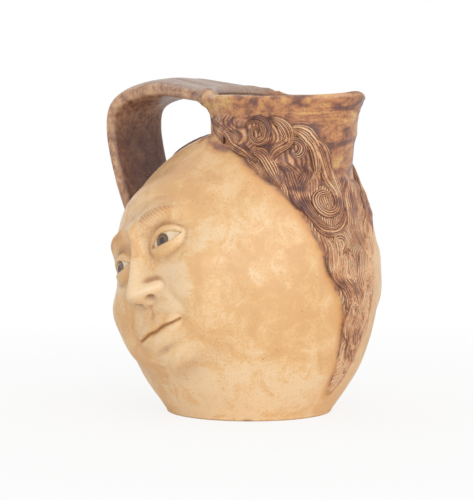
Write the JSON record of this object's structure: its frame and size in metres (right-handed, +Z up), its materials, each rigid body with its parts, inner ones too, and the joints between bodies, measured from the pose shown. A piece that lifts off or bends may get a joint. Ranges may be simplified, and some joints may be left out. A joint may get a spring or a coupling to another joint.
{
  "type": "face jug",
  "caption": "Hollow stoneware jug shaped as a round head, with a calm face front and back, incised hair at the sides, a broad strap handle and a pinched pouring lip.",
  "frame": {"origin": "centre of the flat base, on the surface that the jug stands on", "axes": "+Z up, +X from the handle towards the pouring lip, -Y the way the front face looks"},
  "size_m": [0.174, 0.172, 0.1766],
  "materials": {
    "skin_clay": "satin salt glaze",
    "brown_glaze": "satin salt glaze, mottled",
    "hair_glaze": "satin salt glaze over incised clay",
    "eye_slip": "glossy slip"
  },
  "bodies": {
    "root": {"vessel_body": "skin_clay", "neck_and_lip": "brown_glaze", "strap_handle": "brown_glaze", "hair_lip_side": "hair_glaze", "hair_handle_side": "hair_glaze", "front_face": "skin_clay", "front_eye_left": "eye_slip", "front_eye_right": "eye_slip", "rear_face": "skin_clay", "rear_eye_left": "eye_slip", "rear_eye_right": "eye_slip"}
  },
  "joints": []
}
